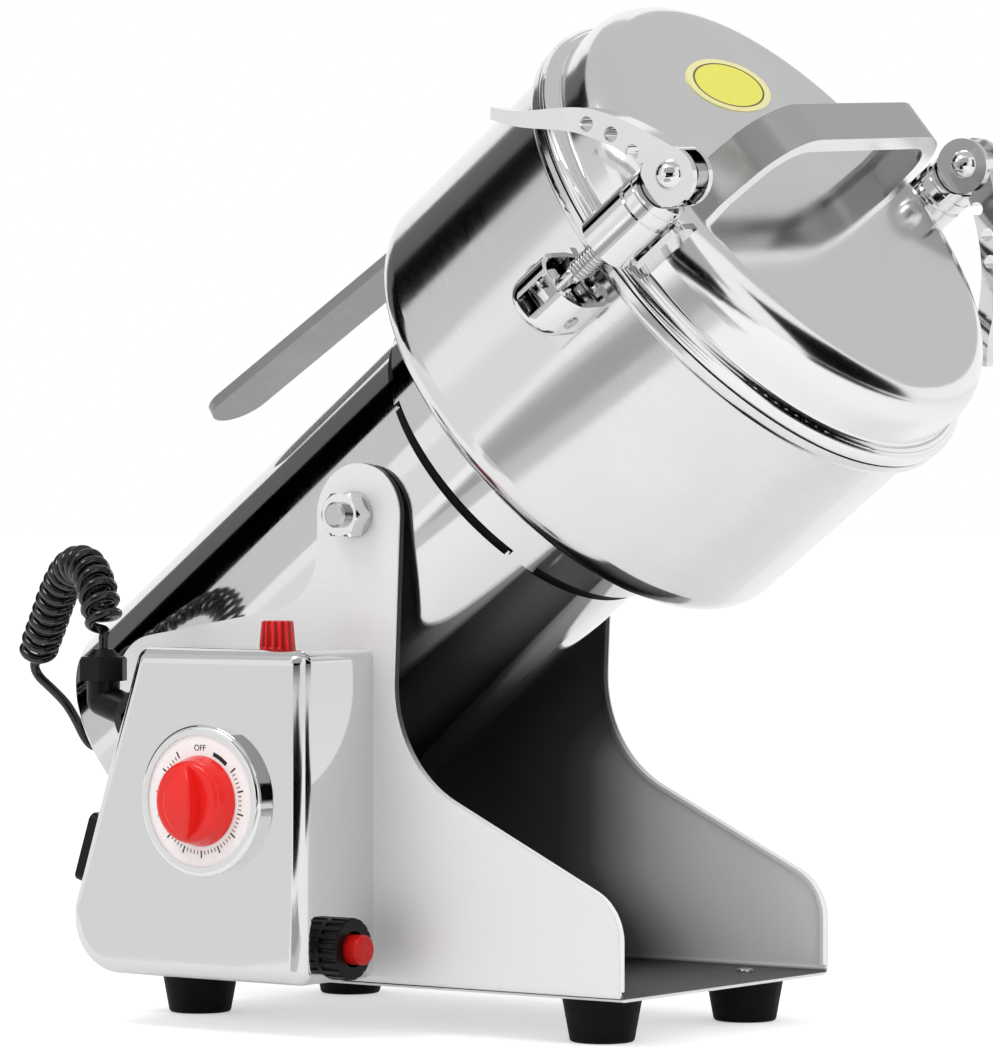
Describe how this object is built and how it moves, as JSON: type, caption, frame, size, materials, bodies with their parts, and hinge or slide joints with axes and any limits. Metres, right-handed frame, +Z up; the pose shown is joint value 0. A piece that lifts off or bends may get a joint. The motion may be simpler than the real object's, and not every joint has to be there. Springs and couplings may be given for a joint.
{
  "type": "electric spice grinder",
  "caption": "Electric spice grinder: a polished bowl with a clamped lid on a motor barrel that tips in a folded steel base, with a timer box and a curly cord.",
  "frame": {"origin": "on the standing surface, midway between the four feet", "axes": "+Z up, +X to the side that the bowl pours to, +Y along the tipping axis, away from the control box"},
  "size_m": [0.3918, 0.2638, 0.3966],
  "materials": {
    "polished_steel": "mirror polished stainless",
    "satin_steel": "satin stainless",
    "chrome": "bright plated",
    "steel": "machined",
    "black_rubber": "matt",
    "black_plastic": "moulded",
    "black_cord": "glossy sheath",
    "red_plastic": "glossy",
    "white_plastic": "glossy",
    "yellow_label": "printed film",
    "nylon": "plain",
    "brass": "bare",
    "iron": "laminated",
    "aluminium": "cast",
    "carbon": "sintered"
  },
  "bodies": {
    "base": {"base_frame": "satin_steel", "rubber_feet": "black_rubber", "foot_screws": "steel", "pivot_bushes": "nylon", "control_box": "satin_steel", "box_screws": "steel", "timer_body": "black_plastic", "dial_plate": "white_plastic", "dial_bezel": "chrome", "indicator_lamp": "red_plastic", "breaker_ring": "black_plastic", "breaker_body": "black_plastic", "power_inlet": "black_plastic", "inlet_pins": "brass", "cable_gland": "black_plastic", "curly_cord": "black_cord"},
    "timer": {"timer_knob": "red_plastic", "timer_shaft": "steel"},
    "reset": {"reset_button": "red_plastic"},
    "swing": {"motor_barrel": "polished_steel", "barrel_end_cap": "polished_steel", "end_cap_screws": "steel", "pivot_blocks": "steel", "pivot_studs": "steel", "pivot_washers": "steel", "pivot_nuts": "chrome", "vent_collar": "polished_steel", "collar_screws": "steel", "bowl": "polished_steel", "shaft_seal": "black_rubber", "pour_handle": "polished_steel", "clamp_pockets": "chrome", "pocket_pins": "steel", "rear_bracket": "aluminium", "front_bracket": "aluminium", "bearings": "steel", "stator": "iron", "brush_holders": "black_plastic", "carbon_brushes": "carbon", "cord_grommet": "black_rubber"},
    "rotor": {"motor_shaft": "steel", "armature": "iron", "commutator": "brass", "cooling_fan": "aluminium", "cutters": "steel", "cutter_spacers": "steel", "cutter_nut": "steel"},
    "lid": {"lid": "polished_steel", "lid_gasket": "black_rubber", "lid_label": "yellow_label", "lid_handle": "polished_steel", "lid_ears": "chrome"},
    "near_clamp": {"near_bolt": "chrome", "near_sleeve": "chrome"},
    "near_arm": {"near_lever": "chrome", "near_cam_pin": "chrome"},
    "far_clamp": {"far_bolt": "chrome", "far_sleeve": "chrome"},
    "far_arm": {"far_lever": "chrome", "far_cam_pin": "chrome"}
  },
  "joints": [
    {"name": "swing_tilt", "type": "hinge", "parent": "base", "child": "swing", "pos_m": [-0.0025, 0, 0.2], "axis": [0, 1, 0], "range_deg": [-52.8, 45], "deforming": ["curly_cord"]},
    {"name": "rotor_spin", "type": "hinge", "parent": "swing", "child": "rotor", "pos_m": [-0.0025, 0, 0.2], "axis": [0.7965, 0, 0.6046], "continuous": true},
    {"name": "near_clamp_swing", "type": "hinge", "parent": "swing", "child": "near_clamp", "pos_m": [0.12098, -0.11401, 0.28045], "axis": [0.602, 0.0924, -0.7931], "range_deg": [0, 100]},
    {"name": "far_clamp_swing", "type": "hinge", "parent": "swing", "child": "far_clamp", "pos_m": [0.10819, 0.11401, 0.2973], "axis": [-0.602, -0.0924, 0.7931], "range_deg": [0, 100]},
    {"name": "lid_lift", "type": "slide", "parent": "swing", "child": "lid", "axis": [0.7965, 0, 0.6046], "range_m": [0, 0.0437]},
    {"name": "near_lever_flip", "type": "hinge", "parent": "near_clamp", "child": "near_arm", "pos_m": [0.17674, -0.11401, 0.32277], "axis": [-0.0558, 0.9957, 0.0736], "range_deg": [0, 150]},
    {"name": "far_lever_flip", "type": "hinge", "parent": "far_clamp", "child": "far_arm", "pos_m": [0.16395, 0.11401, 0.33962], "axis": [0.0558, -0.9957, -0.0736], "range_deg": [0, 150]},
    {"name": "timer_turn", "type": "hinge", "parent": "base", "child": "timer", "pos_m": [-0.039, -0.118, 0.09], "axis": [0, 1, 0], "range_deg": [0, 300]},
    {"name": "reset_push", "type": "slide", "parent": "base", "child": "reset", "axis": [-1, 0, 0], "range_m": [0, 0.003], "stiffness_N_per_m": 400, "springref_m": -0.001}
  ],
  "couplings": [
    {"joint": "far_clamp_swing", "follows": "near_clamp_swing", "ratio": 1},
    {"joint": "lid_lift", "follows": "near_clamp_swing", "m_per_rad": 0.025}
  ]
}
